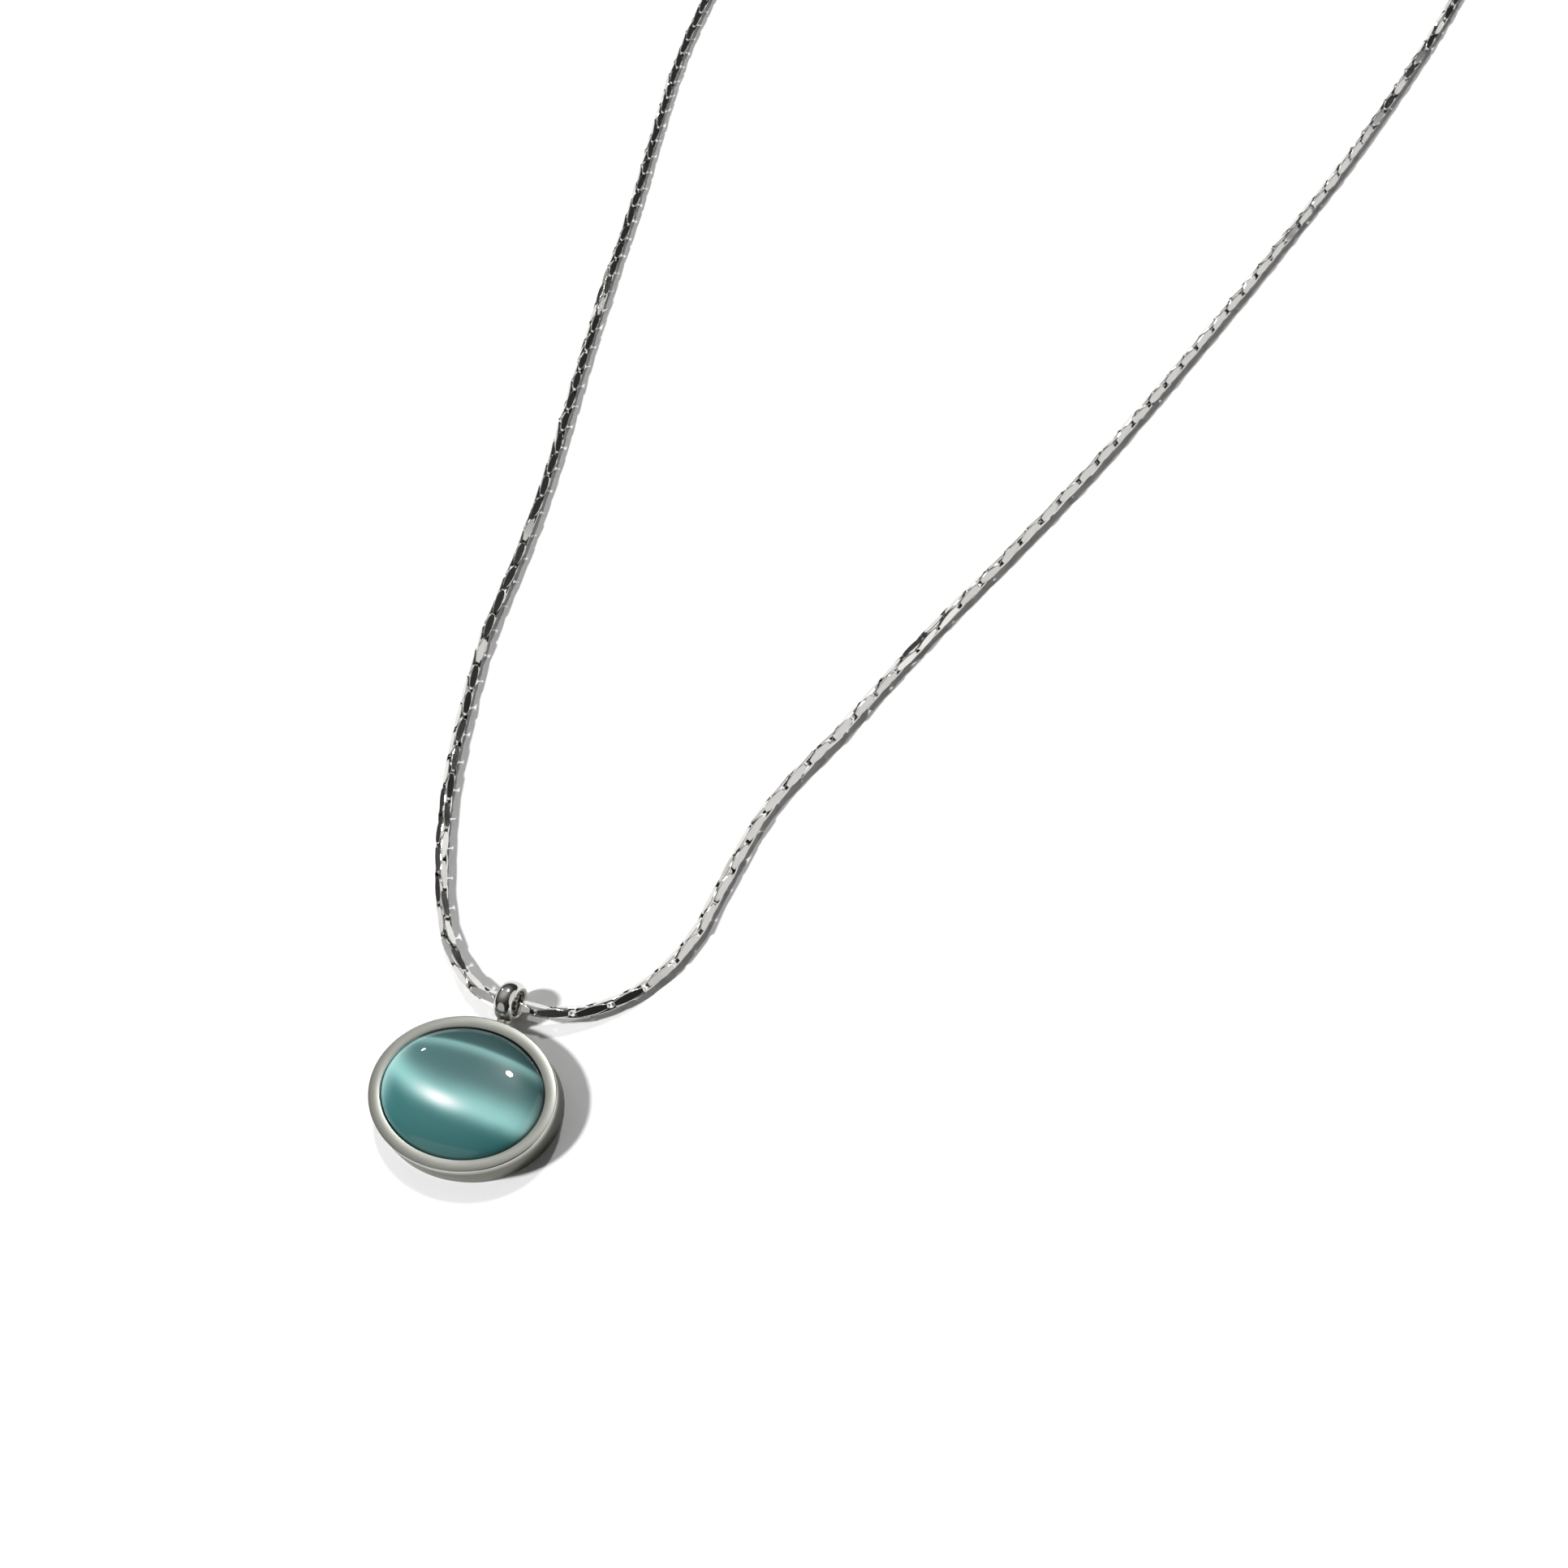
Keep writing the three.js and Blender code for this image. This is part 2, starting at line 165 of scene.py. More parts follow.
class Shader:
    """One material's nodes, with its Principled shader ready to be set."""

    def __init__(self, name, **constants):
        self.material = bpy.data.materials.new(name)
        self.material.use_nodes = True
        self.tree = self.material.node_tree
        self.surface = self.tree.nodes["Principled BSDF"]
        self.place = None
        for socket, value in constants.items():
            self.surface.inputs[socket.replace("_", " ")].default_value = value

    def add(self, kind, settings=None, inputs=None):
        node = self.tree.nodes.new(kind)
        for name, value in (settings or {}).items():
            setattr(node, name, value)
        for name, value in (inputs or {}).items():
            self.feed(node.inputs[name], value)
        return node

    def feed(self, socket, value):
        if isinstance(value, Number):
            value = value.socket
        if isinstance(value, bpy.types.NodeSocket):
            self.tree.links.new(value, socket)
        else:
            socket.default_value = value

    def number(self, value):
        node = self.add("ShaderNodeValue")
        node.outputs[0].default_value = value
        return Number(self, node.outputs[0])

    def coordinates(self):
        if self.place is None:
            self.place = self.add("ShaderNodeTexCoord").outputs["Object"]
        return self.place

    def axes(self, centre=(0, 0, 0), size=(1, 1, 1), turn=0.0):
        """Object coordinates from a centre, turned about Z and measured in a size, as numbers."""
        moved = self.add("ShaderNodeMapping", {"vector_type": "TEXTURE"}, {
            "Vector": self.coordinates(), "Location": centre,
            "Rotation": (0, 0, turn), "Scale": size})
        split = self.add("ShaderNodeSeparateXYZ", None, {0: moved.outputs[0]})
        return [Number(self, output) for output in split.outputs]

    def noise(self, scale, detail=3.0, stretch=(1, 1, 1)):
        place = self.add("ShaderNodeMapping", None, {
            "Vector": self.coordinates(), "Scale": stretch})
        node = self.add("ShaderNodeTexNoise", None, {
            "Vector": place.outputs[0], "Scale": scale, "Detail": detail})
        return Number(self, node.outputs["Fac"])

    def attribute(self, name):
        node = self.add("ShaderNodeAttribute", {"attribute_name": name})
        return Number(self, node.outputs["Fac"])

    def blend(self, factor, first, second):
        node = self.add("ShaderNodeMix", {"data_type": "RGBA"})
        self.feed(node.inputs[0], factor)
        for socket, value in ((node.inputs[6], first), (node.inputs[7], second)):
            self.feed(socket, value if isinstance(value, bpy.types.NodeSocket) else (*value, 1.0))
        return node.outputs[2]

    def bump(self, height, distance, strength=1.0):
        node = self.add("ShaderNodeBump", None, {
            "Height": height, "Distance": distance, "Strength": strength})
        self.feed(self.surface.inputs["Normal"], node.outputs[0])

    def set(self, socket, value):
        self.feed(self.surface.inputs[socket], value)


# ---- Materials ---------------------------------------------------------------------------------

CUP_LOW, CUP_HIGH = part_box("bezel_cup")
OVAL_A = (CUP_HIGH.x - CUP_LOW.x) / 2
OVAL_B = (CUP_HIGH.y - CUP_LOW.y) / 2
OVAL_Y = (CUP_HIGH.y + CUP_LOW.y) / 2
CUP_TOP = CUP_HIGH.z
STONE_LOW, STONE_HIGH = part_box("cabochon")
STONE_A = (STONE_HIGH.x - STONE_LOW.x) / 2
STONE_B = (STONE_HIGH.y - STONE_LOW.y) / 2


def satin_steel():
    """Warm grey steel, tumbled to a satin grain, with worn bright edges and painted shade darkening its walls."""
    shader = Shader("satin_steel", Metallic=1.0)
    grain = shader.noise(9000, 4.0)
    cloud = shader.noise(420, 2.0)
    edge = shader.attribute("edge")
    _, _, height = shader.axes((0, 0, 0), (1, 1, CUP_TOP))
    tone = shader.blend(cloud, (0.52, 0.525, 0.47), (0.62, 0.625, 0.57))
    # Painted shade: the walls are darkened to a dark grey, fading back to the steel's tone towards the top rim and
    # in the lowest twelfth of the height.
    face = (height * 3.5 - 2.45).math("MAXIMUM", 1.0 - height * 12.0).clamp()
    tone = shader.blend(face, (0.20, 0.20, 0.17), tone)
    shader.set("Base Color", shader.blend(edge, tone, (0.85, 0.85, 0.82)))
    shader.set("Roughness", 0.36 + 0.08 * cloud + 0.06 * grain - 0.30 * edge)
    shader.bump(grain, 0.004 * MM, 0.5)
    return shader.material


def polished_steel(name, light, dark):
    """Mirror-polished steel with faint handling scratches and a cloudy film."""
    shader = Shader(name, Metallic=1.0)
    film = shader.noise(700, 3.0)
    scratches = shader.noise(2600, 2.0, (1, 9, 3))
    shader.set("Base Color", shader.blend(film, light, dark))
    shader.set("Roughness", 0.05 + 0.07 * film + 0.05 * scratches)
    shader.bump(scratches, 0.002 * MM, 0.35)
    return shader.material


def cats_eye_glass():
    """Teal fibre-optic glass: a broad bright band and a thin softer one cross the dome, with a painted highlight
    on the broad band.
    """
    shader = Shader("cats_eye_glass", Roughness=0.35, Coat_Weight=1.0, Coat_Roughness=0.015,
                    Specular_IOR_Level=0.25)
    u, v, _ = shader.axes((0, OVAL_Y, 0), (STONE_A, STONE_B, 1))
    fibres = shader.noise(70, 2.0, (1, 16, 16))
    sway = (shader.noise(260, 2.0) - 0.5) * 0.06
    left = u.math("MINIMUM", 0)

    off_main = v + sway + 0.26 - 0.38 * left * left
    below_main = off_main.math("MINIMUM", 0).bell(0.15)
    above_main = (off_main.math("MAXIMUM", 0) / (0.25 + 0.05 * u)).bell(1.0)
    main = below_main * above_main
    # Painted highlight: a near-white spot on the broad band, a little left of the middle, standing in for a lamp's
    # reflection.
    painted_highlight = (u + 0.12).bell(0.26) * (off_main + 0.01).bell(0.085)

    off_thin = v + sway * 0.4 - 0.64 + 0.13 * u * u
    thin = off_thin.math("MAXIMUM", 0).bell(0.035) * off_thin.math("MINIMUM", 0).bell(0.10)
    thin = thin * (0.72 + 0.15 * u)

    low = (0.55 - 4.0 * off_main).clamp()
    high = (off_thin * 9.0).clamp()
    tone = shader.blend(low, (0.055, 0.140, 0.140), (0.035, 0.145, 0.145))
    tone = shader.blend(high, tone, (0.040, 0.095, 0.095))
    tone = shader.blend((-v - 0.62).clamp() * 2.0, tone, (0.035, 0.115, 0.11))
    tone = shader.blend(thin, tone, (0.27, 0.52, 0.50))
    tone = shader.blend(main * (0.66 + 0.16 * fibres + 0.16 * u), tone, (0.36, 0.72, 0.69))
    tone = shader.blend((u + 1.0).bell(0.17) * 0.7, tone, (0.36, 0.64, 0.62))
    # The painted highlight is laid over the band in the base colour.
    tone = shader.blend(painted_highlight, tone, (0.93, 0.98, 0.97))
    shader.set("Base Color", tone)
    shader.bump(fibres, 0.004 * MM, 0.2)
    return shader.material


def epoxy():
    shader = Shader("adhesive", Roughness=0.45)
    cloud = shader.noise(900)
    shader.set("Base Color", shader.blend(cloud, (0.72, 0.70, 0.60), (0.82, 0.80, 0.72)))
    shader.bump(cloud, 0.02 * MM, 0.4)
    return shader.material


SATIN = satin_steel()
POLISHED = polished_steel("polished_steel", (0.80, 0.79, 0.76), (0.70, 0.69, 0.66))
CHAIN_STEEL = polished_steel("chain_steel", (0.86, 0.85, 0.83), (0.74, 0.73, 0.70))
SPRING_STEEL = polished_steel("spring_steel", (0.62, 0.61, 0.58), (0.48, 0.47, 0.44))
GLASS = cats_eye_glass()
ADHESIVE = epoxy()

# ---- Mesh helpers ------------------------------------------------------------------------------


def new_piece(name, vertices, faces, material, smooth=True):
    mesh = bpy.data.meshes.new(name)
    mesh.from_pydata([tuple(v) for v in vertices], [], faces)
    mesh.validate()
    mesh.materials.append(material)
    if smooth:
        mesh.shade_smooth()
    piece = bpy.data.objects.new(name, mesh)
    bpy.context.scene.collection.objects.link(piece)
    return piece


def skin(rings, along=False, start_cap=False, end_cap=False):
    """Quads between closed rings of points; along joins the last ring to the first."""
    vertices = [p for ring in rings for p in ring]
    count = len(rings[0])
    faces = []
    last = len(rings) if along else len(rings) - 1
    for i in range(last):
        for j in range(count):
            a, b = i * count, (i + 1) % len(rings) * count
            k = (j + 1) % count
            faces.append((a + j, a + k, b + k, b + j))
    if start_cap:
        faces.append(tuple(reversed(range(count))))
    if end_cap:
        faces.append(tuple(range((len(rings) - 1) * count, len(rings) * count)))
    return vertices, faces


def outward(piece):
    """Merges doubles and turns every face outwards."""
    work = bmesh.new()
    work.from_mesh(piece.data)
    bmesh.ops.remove_doubles(work, verts=work.verts, dist=1e-7)
    bmesh.ops.recalc_face_normals(work, faces=work.faces)
    work.to_mesh(piece.data)
    work.free()
    return piece


def show(piece, body, slot, *nodes):
    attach(piece, body)
    if nodes:
        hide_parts(*nodes)
    return piece


# ---- Chain route -------------------------------------------------------------------------------

CHAIN_TIP_LIFT = 0.5
LIFT = (CHAIN_IN_BAIL - CHAIN_FLOOR) / MM
BAIL_Y = PIVOTS["pendant"].y / MM

# Millimetres: x, y and the lift off the floor, from the clasp's end round to the extender's
ROUTE = [
    (-21.5, 181.6, CHAIN_TIP_LIFT), (-30.3, 177.5, 0), (-36.3, 169.2, 0), (-38.7, 158.0, 0),
    (-38.4, 146.0, 0), (-37.4, 133.0, 0), (-35.9, 121.5, 0), (-33.2, 108.5, 0),
    (-30.2, 95.5, 0), (-27.7, 83.0, 0), (-24.6, 68.8, 0), (-21.9, 57.0, 0),
    (-20.0, 46.5, 0), (-18.8, 37.7, 0), (-16.9, 30.0, 0), (-14.7, 23.0, 0),
    (-12.0, 16.6, 0), (-8.9, 11.2, 0), (-5.8, 7.8, 0.25), (-2.8, 6.15, 0.75),
    (0, BAIL_Y, LIFT), (2.8, 6.05, 0.75), (5.8, 7.4, 0.25), (8.6, 10.2, 0),
    (10.6, 14.8, 0), (11.15, 20.5, 0), (12.0, 27.8, 0), (14.8, 35.5, 0),
    (18.6, 46.5, 0), (23.0, 58.0, 0), (27.4, 70.0, 0), (31.6, 83.5, 0),
    (36.0, 98.5, 0), (40.0, 113.0, 0), (43.3, 127.5, 0), (46.2, 142.5, 0),
    (47.5, 154.0, 0), (47.2, 165.0, 0), (44.8, 175.4, 0), (40.2, 184.4, CHAIN_TIP_LIFT),
]


def smooth_line(points, steps):
    """A centripetal Catmull-Rom curve through the points, with that many steps between each two."""
    knots = [2 * points[0] - points[1], *points, 2 * points[-1] - points[-2]]
    line = []
    for p0, p1, p2, p3 in zip(knots, knots[1:], knots[2:], knots[3:]):
        d0, d1, d2 = (max((b - a).length ** 0.5, 1e-6) for a, b in ((p0, p1), (p1, p2), (p2, p3)))
        m1 = (p1 - p0) / d0 - (p2 - p0) / (d0 + d1) + (p2 - p1) / d1
        m2 = (p2 - p1) / d1 - (p3 - p1) / (d1 + d2) + (p3 - p2) / d2
        for i in range(steps):
            t = i / steps
            line.append(
                (2 * t**3 - 3 * t**2 + 1) * p1 + (t**3 - 2 * t**2 + t) * d1 * m1
                + (3 * t**2 - 2 * t**3) * p2 + (t**3 - t**2) * d1 * m2)
    return line + [points[-1]]


CHAIN_LINE = smooth_line(
    [Vector((x * MM, y * MM, CHAIN_FLOOR + lift * MM)) for x, y, lift in ROUTE], 12)
CHAIN_LENGTH = sum((b - a).length for a, b in zip(CHAIN_LINE, CHAIN_LINE[1:]))

# ---- Chain links -------------------------------------------------------------------------------


def link_form():
    """One chain link: a flat strip bent into a long loop, each side a slim lens with soft ends."""
    half, radius = LINK_LENGTH / 2, LINK_HALF_HEIGHT
    straight = half - LINK_NOSE
    bends = [math.radians(a) for a in (-90, -50, -17, 17, 50, 90)]
    path = [(straight + LINK_NOSE * math.cos(a), radius * math.sin(a), math.cos(a), math.sin(a))
            for a in bends]
    path += [(share * straight, radius, 0.0, 1.0) for share in (0.7, 0.25, -0.25, -0.7)]
    path += [(-x, -z, -nx, -nz) for x, z, nx, nz in path]
    rings = []
    for x, z, nx, nz in path:
        share = min(abs(x) / half, 1.0)
        wide = LINK_MID_HALF_WIDTH + (LINK_TIP_HALF_WIDTH - LINK_MID_HALF_WIDTH) * share ** 2.4
        ring = []
        for side, depth in ((-1, 1.0), (-1, 0.3), (-0.84, 0.0), (0.84, 0.0), (1, 0.3), (1, 1.0)):
            sink = depth * LINK_STRIP
            ring.append((x - nx * sink, side * wide, z - nz * sink))
        rings.append(ring)
    vertices, faces = skin(rings, along=True)
    return outward(new_piece("link_form", vertices, faces, CHAIN_STEEL, smooth=False))


def chain_tree():
    """Geometry Nodes that set links along a curve, each turned a quarter from the one before."""
    tree = bpy.data.node_groups.new("links_on_a_curve", "GeometryNodeTree")
    inputs = {}
    for name, kind in (("Curve", "Geometry"), ("Link", "Object"), ("Count", "Int"),
                       ("Start", "Float"), ("End", "Float"), ("Roll", "Float"),
                       ("Twist", "Float"), ("Jitter", "Float"), ("Seed", "Int"),
                       ("Steel", "Material")):
        socket = tree.interface.new_socket(
            name=name, in_out="INPUT", socket_type=f"NodeSocket{kind}")
        inputs[name] = socket.identifier
    tree.interface.new_socket(name="Chain", in_out="OUTPUT", socket_type="NodeSocketGeometry")
    given = tree.nodes.new("NodeGroupInput").outputs

    def add(kind, settings=None, feeds=None):
        node = tree.nodes.new(kind)
        for name, value in (settings or {}).items():
            setattr(node, name, value)
        for name, value in (feeds or {}).items():
            if isinstance(value, bpy.types.NodeSocket):
                tree.links.new(value, node.inputs[name])
            else:
                node.inputs[name].default_value = value
        return node

    def maths(operation, a, b):
        return add("ShaderNodeMath", {"operation": operation}, {0: a, 1: b}).outputs[0]

    run = add("GeometryNodeTrimCurve", {"mode": "LENGTH"}, {
        "Curve": given["Curve"], 4: given["Start"], 5: given["End"]})
    points = add("GeometryNodeCurveToPoints", {"mode": "COUNT"}, {
        "Curve": run.outputs[0], "Count": given["Count"]})
    index = add("GeometryNodeInputIndex").outputs[0]
    facing = add("FunctionNodeAxesToRotation", {"primary_axis": "X", "secondary_axis": "Z"}, {
        "Primary Axis": points.outputs["Tangent"], "Secondary Axis": (0, 0, 1)})
    sway = add("ShaderNodeTexNoise", {"noise_dimensions": "1D"}, {
        "W": maths("MULTIPLY", index, 0.045), "Scale": 1.0, "Detail": 1.0})
    quarter = maths("MULTIPLY", maths("MODULO", index, 2.0), math.pi / 2)
    twist = maths("MULTIPLY", maths("SUBTRACT", sway.outputs["Fac"], 0.5), given["Twist"])
    roll = maths("ADD", maths("ADD", quarter, twist), given["Roll"])
    jitters = [
        add("FunctionNodeRandomValue", {"data_type": "FLOAT"}, {
            "Min": maths("MULTIPLY", given["Jitter"], -1.0), "Max": given["Jitter"],
            "ID": index, "Seed": maths("ADD", given["Seed"], float(i))}).outputs["Value"]
        for i in range(3)]
    euler = add("ShaderNodeCombineXYZ", None, {
        0: maths("ADD", roll, jitters[0]), 1: jitters[1], 2: jitters[2]})
    turn = add("FunctionNodeEulerToRotation", None, {"Euler": euler.outputs[0]})
    rotation = add("FunctionNodeRotateRotation", {"rotation_space": "LOCAL"}, {
        "Rotation": facing.outputs[0], "Rotate By": turn.outputs[0]})
    link = add("GeometryNodeObjectInfo", None, {"Object": given["Link"]})
    copies = add("GeometryNodeInstanceOnPoints", None, {
        "Points": points.outputs["Points"], "Instance": link.outputs["Geometry"],
        "Rotation": rotation.outputs[0]})
    real = add("GeometryNodeRealizeInstances", None, {"Geometry": copies.outputs[0]})
    steel = add("GeometryNodeSetMaterial", None, {
        "Geometry": real.outputs[0], "Material": given["Steel"]})
    add("NodeGroupOutput", None, {"Chain": steel.outputs[0]})
    return tree, inputs


def make_chain():
    curve = bpy.data.curves.new("chain_line", "CURVE")
    curve.dimensions = "3D"
    spline = curve.splines.new("POLY")
    spline.points.add(len(CHAIN_LINE) - 1)
    for point, place in zip(spline.points, CHAIN_LINE):
        point.co = (*place, 1.0)
    holder = bpy.data.objects.new("chain_line", curve)
    bpy.context.scene.collection.objects.link(holder)
    form = link_form()
    tree, inputs = chain_tree()
    modifier = holder.modifiers.new("links", "NODES")
    modifier.node_group = tree
    run = CHAIN_LENGTH - 2 * LINKS_STOP
    settings = {
        "Link": form, "Count": 2 * round(run / LINK_PITCH / 2) + 1, "Start": LINKS_STOP,
        "End": CHAIN_LENGTH - LINKS_STOP, "Roll": -ROLL,
        "Twist": LINK_TWIST, "Jitter": LINK_JITTER, "Seed": LINK_SEED, "Steel": CHAIN_STEEL}
    for name, value in settings.items():
        modifier[inputs[name]] = value
    bpy.context.view_layer.update()
    mesh = bpy.data.meshes.new_from_object(
        holder.evaluated_get(bpy.context.evaluated_depsgraph_get()))
    mesh.name = "chain_links"
    chain = bpy.data.objects.new("chain_links", mesh)
    bpy.context.scene.collection.objects.link(chain)
    for spare in (holder, form):
        bpy.data.objects.remove(spare)
    return chain


# ---- Wire rings and links ----------------------------------------------------------------------


def wire_loop(name, length, width, wire, centre, heading, roll, material, steps=32, sides=12,
              pitch=0.0):
    """A closed loop of round wire, length along its heading, rolled about that direction."""
    radius = (width - wire) / 2
    stretch = (length - width) / 2
    turn = (Matrix.Rotation(heading, 3, "Z") @ Matrix.Rotation(-pitch, 3, "Y")
            @ Matrix.Rotation(roll, 3, "X"))
    rings = []
    for i in range(steps):
        angle = 2 * math.pi * (i + 0.5) / steps
        out = Vector((math.cos(angle), math.sin(angle), 0))
        middle = radius * out + Vector((math.copysign(stretch, out.x), 0, 0))
        ring = []
        for j in range(sides):
            tilt = 2 * math.pi * j / sides
            offset = math.cos(tilt) * out + math.sin(tilt) * Vector((0, 0, 1))
            ring.append(centre + turn @ (middle + wire / 2 * offset))
        rings.append(ring)
    vertices, faces = skin(rings, along=True)
    return outward(new_piece(name, vertices, faces, material))


def middle_of(node):
    low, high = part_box(node)
    return (low + high) / 2


def heading_to(first, second):
    return math.atan2(second.y - first.y, second.x - first.x)


def extender_pieces():
    """The extender's ring and links, each where its CAD node lies."""
    names = ["extender_ring"] + [f"extender_link_{i:02d}" for i in range(1, 13)]
    pieces = []
    for i, node in enumerate(names):
        after = names[i + 1] if i + 1 < len(names) else "extender_drop"
        heading = heading_to(PIVOTS[node], PIVOTS[after])
        size = EXTENDER_LINK if i else (RING_OUTER, RING_OUTER)
        wire = LINK_WIRE if i else RING_WIRE
        roll = ROLL if i % 2 == 0 else -ROLL
        piece = wire_loop(
            node + "_wire", *size, wire, middle_of(node), heading, roll, POLISHED)
        pieces.append(show(piece, node, "polished_steel", node))
    return pieces


def chain_end_ring(name, tip, before, ring):
    """The small closed ring through the chain's last link and round a jump ring's wire."""
    heading = heading_to(before, tip)
    ahead = Vector((math.cos(heading), math.sin(heading), 0))
    start = tip - END_RING_BACK * ahead
    end = tip + END_RING_AHEAD * ahead
    start.z = before.z + (tip.z - before.z) * 0.6
    end.z = middle_of(ring).z
    way = end - start
    outer = way.length + END_RING_WIRE
    piece = wire_loop(name, outer, outer, END_RING_WIRE, (start + end) / 2, heading, -ROLL,
                      POLISHED, 24, 8, math.atan2(way.z, way.xy.length))
    return show(piece, "chain", "polished_steel")


def softened(node, slot, material, edge_radius, smooth_angle=40, spared=None, around=0.0):
    """A finer copy of a small CAD part: its sharp edges rounded over and its curves smooth.

    Edges within that distance around a spared place stay as they are.
    """
    mesh = frame["nodes"][node].data.copy()
    mesh.name = node + "_polished"
    work = bmesh.new()
    work.from_mesh(mesh)
    bmesh.ops.remove_doubles(work, verts=work.verts, dist=1e-6)
    bmesh.ops.dissolve_limit(work, angle_limit=math.radians(1.5), verts=work.verts,
                             edges=work.edges)
    if edge_radius:
        sharp = [e for e in work.edges
                 if len(e.link_faces) == 2 and e.calc_face_angle() > math.radians(50)
                 and not (spared and ((e.verts[0].co + e.verts[1].co) / 2 - spared).xy.length
                          < around)]
        bmesh.ops.bevel(work, geom=sharp, offset=edge_radius, segments=3, profile=0.5,
                        affect="EDGES", clamp_overlap=False)
    bmesh.ops.triangulate(work, faces=work.faces)
    bmesh.ops.recalc_face_normals(work, faces=work.faces)
    work.to_mesh(mesh)
    work.free()
    mesh.materials.clear()
    mesh.materials.append(material)
    mesh.shade_smooth()
    mesh.set_sharp_from_angle(angle=math.radians(smooth_angle))
    piece = bpy.data.objects.new(node + "_polished", mesh)
    bpy.context.scene.collection.objects.link(piece)
    body = next(b for b, nodes in frame["record"]["behaviour"]["bodies"].items()
                if node in nodes)
    return show(piece, body, slot, node)


chain_links = make_chain()
extender = extender_pieces()
CLASP_HEADING = heading_to(PIVOTS["clasp_ring"], PIVOTS["clasp"])
CLASP_EYE = PIVOTS["clasp"] + EYE_AHEAD * Vector(
    (math.cos(CLASP_HEADING), math.sin(CLASP_HEADING), 0))
clasp_ring = wire_loop("clasp_ring_wire", RING_OUTER, RING_OUTER, CLASP_RING_WIRE,
                       middle_of("clasp_ring"), CLASP_HEADING, CLASP_RING_ROLL, POLISHED)
show(clasp_ring, "clasp_ring", "polished_steel", "clasp_ring")
end_rings = [
    chain_end_ring("clasp_end_ring", CHAIN_LINE[0], CHAIN_LINE[4], "clasp_ring"),
    chain_end_ring("extender_end_ring", CHAIN_LINE[-1], CHAIN_LINE[-5], "extender_ring"),
]
show(chain_links, "chain", "chain_steel", "chain")
clasp = [
    softened("clasp_body", "polished_steel", POLISHED, 0.15 * MM, 40, CLASP_EYE, EYE_SPAN),
    softened("clasp_trigger", "polished_steel", POLISHED, 0.12 * MM),
    softened("clasp_pin", "polished_steel", POLISHED, 0.05 * MM),
    softened("clasp_spring", "spring_steel", SPRING_STEEL, 0.0, 60),
]
drop = softened("extender_drop", "polished_steel", POLISHED, 0.05 * MM, 50)

# ---- Pendant -----------------------------------------------------------------------------------

OVAL_SIDES = 160


def oval_ring(inset, height):
    """Points of the cup's oval, moved in from its outer wall by that much."""
    ring = []
    for i in range(OVAL_SIDES):
        angle = 2 * math.pi * i / OVAL_SIDES
        out = Vector((math.cos(angle) / OVAL_A, math.sin(angle) / OVAL_B, 0)).normalized()
        edge = Vector((OVAL_A * math.cos(angle), OVAL_Y + OVAL_B * math.sin(angle), height))
        ring.append(edge - inset * out)
    return ring


def bezel_cup():
    """The cup as one turned wall: back, outer wall, flat rim, inner wall and well floor."""
    b = EDGE_BREAK
    profile = [
        (CAP_INSET, 0, 0), (b, 0, 0), (0.35 * b, 0.3 * b, 1), (0, b, 0),
        (0, CUP_TOP - b, 0), (0.3 * b, CUP_TOP - 0.3 * b, 1), (b, CUP_TOP, 0),
        (CUP_WALL - 0.8 * b, CUP_TOP, 0), (CUP_WALL - 0.25 * b, CUP_TOP - 0.25 * b, 1),
        (CUP_WALL, CUP_TOP - 0.8 * b, 0), (CUP_WALL, CUP_FLOOR, 0), (CAP_INSET, CUP_FLOOR, 0)]
    rings = [oval_ring(inset, height) for inset, height, _ in profile]
    vertices, faces = skin(rings, start_cap=True, end_cap=True)
    piece = outward(new_piece("bezel", vertices, faces, SATIN))
    marks = piece.data.attributes.new("edge", "FLOAT", "POINT")
    worn = [worn for _, _, worn in profile for _ in range(OVAL_SIDES)]
    marks.data.foreach_set("value", worn[:len(piece.data.vertices)])
    return show(piece, "pendant", "satin_steel", "bezel_cup")


def cabochon():
    base, top = STONE_LOW.z, STONE_HIGH.z
    girdle = base + STONE_GIRDLE
    profile = [(FILL, base), (FILL, girdle - 0.2 * MM), (FILL - GIRDLE_BREAK, girdle)]
    for i in range(1, CROWN_STEPS):
        angle = math.pi / 2 * i / CROWN_STEPS
        profile.append(((FILL - GIRDLE_BREAK) * math.cos(angle),
                        girdle + (top - girdle) * math.sin(angle)))
    rings = []
    for share, height in profile:
        ring = []
        for i in range(STONE_SIDES):
            angle = 2 * math.pi * i / STONE_SIDES
            ring.append(Vector((share * STONE_A * math.cos(angle),
                                OVAL_Y + share * STONE_B * math.sin(angle), height)))
        rings.append(ring)
    vertices, faces = skin(rings, start_cap=True)
    crown = len(vertices)
    vertices.append(Vector((0, OVAL_Y, top)))
    last = crown - STONE_SIDES
    faces += [(last + i, last + (i + 1) % STONE_SIDES, crown) for i in range(STONE_SIDES)]
    piece = outward(new_piece("cats_eye_stone", vertices, faces, GLASS))
    return show(piece, "pendant", "cats_eye_glass", "cabochon")


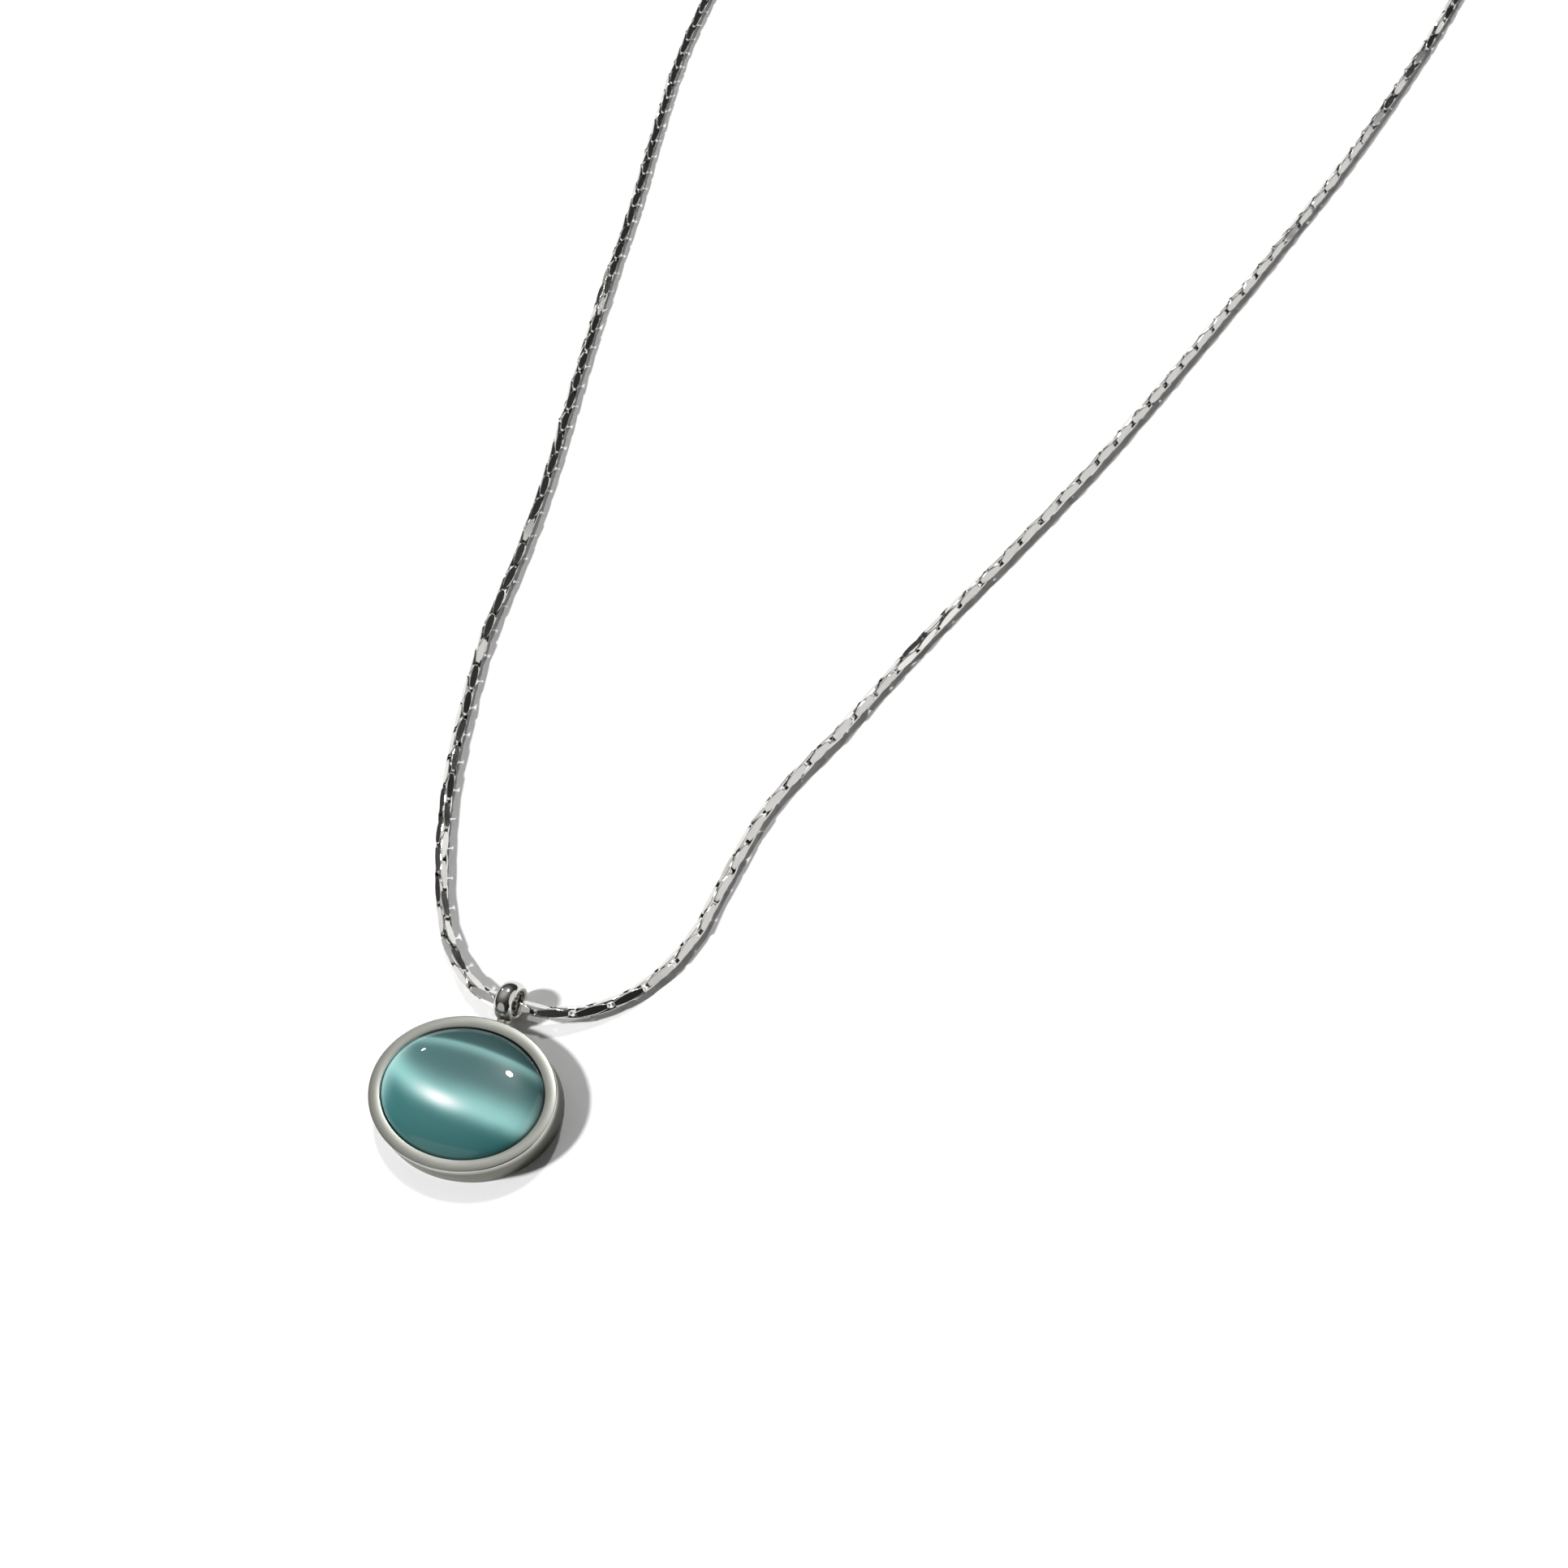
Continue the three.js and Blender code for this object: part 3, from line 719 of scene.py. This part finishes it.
def bail():
    """A barrel-shaped ring on the chain, with a stem that narrows to the cup's wall."""
    middle = Vector((0, PIVOTS["pendant"].y, BAIL_OUTER))
    rise = BAIL_OUTER - BAIL_SHOULDER
    arc = [math.pi * i / 16 for i in range(17)]
    section = [(BAIL_HALF_WIDTH * math.cos(a), BAIL_SHOULDER + rise * math.sin(a)) for a in arc]
    lip = 0.06 * MM
    section += [(-BAIL_HALF_WIDTH, BAIL_HOLE + lip), (-BAIL_HALF_WIDTH + lip, BAIL_HOLE),
                (BAIL_HALF_WIDTH - lip, BAIL_HOLE), (BAIL_HALF_WIDTH, BAIL_HOLE + lip)]
    rings = []
    for i in range(72):
        angle = 2 * math.pi * i / 72
        way = Vector((0, math.cos(angle), math.sin(angle)))
        rings.append([middle + radius * way + Vector((x, 0, 0)) for x, radius in section])
    vertices, faces = skin(rings, along=True)

    wall = OVAL_Y + OVAL_B
    start = middle.y - BAIL_SHOULDER
    stem = []
    for share in (0.0, 0.15, 0.4, 0.7, 1.0):
        half_width = (0.66 - 0.30 * share) * MM
        half_height = (0.52 - 0.12 * share) * MM
        ring = []
        for i in range(24):
            angle = 2 * math.pi * i / 24
            x = math.copysign(abs(math.cos(angle)) ** 0.6, math.cos(angle)) * half_width
            z = math.copysign(abs(math.sin(angle)) ** 0.6, math.sin(angle)) * half_height
            ring.append(Vector((x, start + (wall - start) * share, middle.z - STEM_DROP + z)))
        stem.append(ring)
    more, extra = skin(stem, start_cap=True, end_cap=True)
    faces += [tuple(len(vertices) + i for i in face) for face in extra]
    piece = outward(new_piece("bail_ring", vertices + more, faces, POLISHED))
    return show(piece, "pendant", "polished_steel", "bail")


bail()
bezel_cup()
cabochon()
frame["nodes"]["adhesive_pad"].data.materials[0] = ADHESIVE

# ---- Floor and light ---------------------------------------------------------------------------

FLOOR_HALF = 6.0
FLOOR_DROP = 0.05 * MM


def make_floor():
    mesh = bpy.data.meshes.new("table")
    mesh.from_pydata([(-FLOOR_HALF, -FLOOR_HALF, 0), (FLOOR_HALF, -FLOOR_HALF, 0),
                      (FLOOR_HALF, FLOOR_HALF, 0), (-FLOOR_HALF, FLOOR_HALF, 0)],
                     [], [(0, 1, 2, 3)])
    floor = bpy.data.objects.new("table", mesh)
    bpy.context.scene.collection.objects.link(floor)
    shader = Shader("table_white", Roughness=0.7)
    shader.set("Base Color", (0.90, 0.90, 0.90, 1.0))
    mesh.materials.append(shader.material)
    floor.location.z = -FLOOR_DROP


LIGHT_TARGET = Vector((8.0, 20.0, 0.0)) * MM
GLOW_WAY = (-0.43, 0.23, 0.87)


def aim(name, data, azimuth, elevation, distance):
    """Puts a light of that kind on a bearing from the pendant, facing it."""
    up, round_z = math.radians(elevation), math.radians(azimuth)
    way = Vector((math.cos(round_z) * math.cos(up), math.sin(round_z) * math.cos(up),
                  math.sin(up)))
    light = bpy.data.objects.new(name, data)
    bpy.context.scene.collection.objects.link(light)
    light.matrix_world = (Matrix.Translation(LIGHT_TARGET + distance * way)
                          @ (-way).to_track_quat("-Z", "Y").to_matrix().to_4x4())
    return light


def far_lamp(name, azimuth, elevation, spread, floor_share, glossy=True):
    """A distant soft lamp that lights the whole floor by that share of white."""
    data = bpy.data.lights.new(name, "SUN")
    data.angle = math.radians(spread)
    data.energy = floor_share * math.pi / math.sin(math.radians(elevation))
    aim(name, data, azimuth, elevation, 1.0).visible_glossy = glossy


def near_lamp(name, azimuth, elevation, distance, size, radiance, diffuse=True):
    """A round softbox near the object, of that size and radiance."""
    data = bpy.data.lights.new(name, "AREA")
    data.shape = "DISK"
    data.size = size
    data.energy = radiance * math.pi * math.pi * (size / 2) ** 2
    aim(name, data, azimuth, elevation, distance).visible_diffuse = diffuse


def make_sky():
    """A dim room with one broad soft glow overhead, to one side, and a plain pale backdrop."""
    world = bpy.data.worlds.new("studio")
    bpy.context.scene.world = world
    world.use_nodes = True
    tree = world.node_tree
    place = tree.nodes.new("ShaderNodeTexCoord")
    toward = tree.nodes.new("ShaderNodeVectorMath")
    toward.operation = "DOT_PRODUCT"
    toward.inputs[1].default_value = GLOW_WAY
    ramp = tree.nodes.new("ShaderNodeValToRGB")
    stops = ((0.0, 0.02), (0.55, 0.04), (0.82, 0.16), (1.0, 0.50))
    while len(ramp.color_ramp.elements) < len(stops):
        ramp.color_ramp.elements.new(1.0)
    for element, (position, level) in zip(ramp.color_ramp.elements, stops):
        element.position = position
        element.color = (level, level, level, 1.0)
    tree.links.new(place.outputs["Generated"], toward.inputs[0])
    tree.links.new(toward.outputs["Value"], ramp.inputs[0])
    backdrop = tree.nodes.new("ShaderNodeMix")
    backdrop.data_type = "RGBA"
    backdrop.inputs[7].default_value = (0.93, 0.93, 0.93, 1.0)
    seen = tree.nodes.new("ShaderNodeLightPath").outputs["Is Camera Ray"]
    tree.links.new(seen, backdrop.inputs[0])
    tree.links.new(ramp.outputs[0], backdrop.inputs[6])
    tree.links.new(backdrop.outputs[2], tree.nodes["Background"].inputs[0])


def make_light():
    make_sky()
    far_lamp("key_top", 104, 55, 4.2, 0.23)
    far_lamp("key_left", 208, 48, 6.5, 0.80, glossy=False)
    near_lamp("glint", 150, 28, 0.60, 0.022, 60.0)
    near_lamp("card_right", 12, 22, 0.70, 0.95, 0.75, diffuse=False)
    near_lamp("card_front", -108, 20, 0.60, 0.60, 0.45, diffuse=False)
    bpy.context.scene.view_settings.view_transform = "Standard"


make_floor()
make_light()
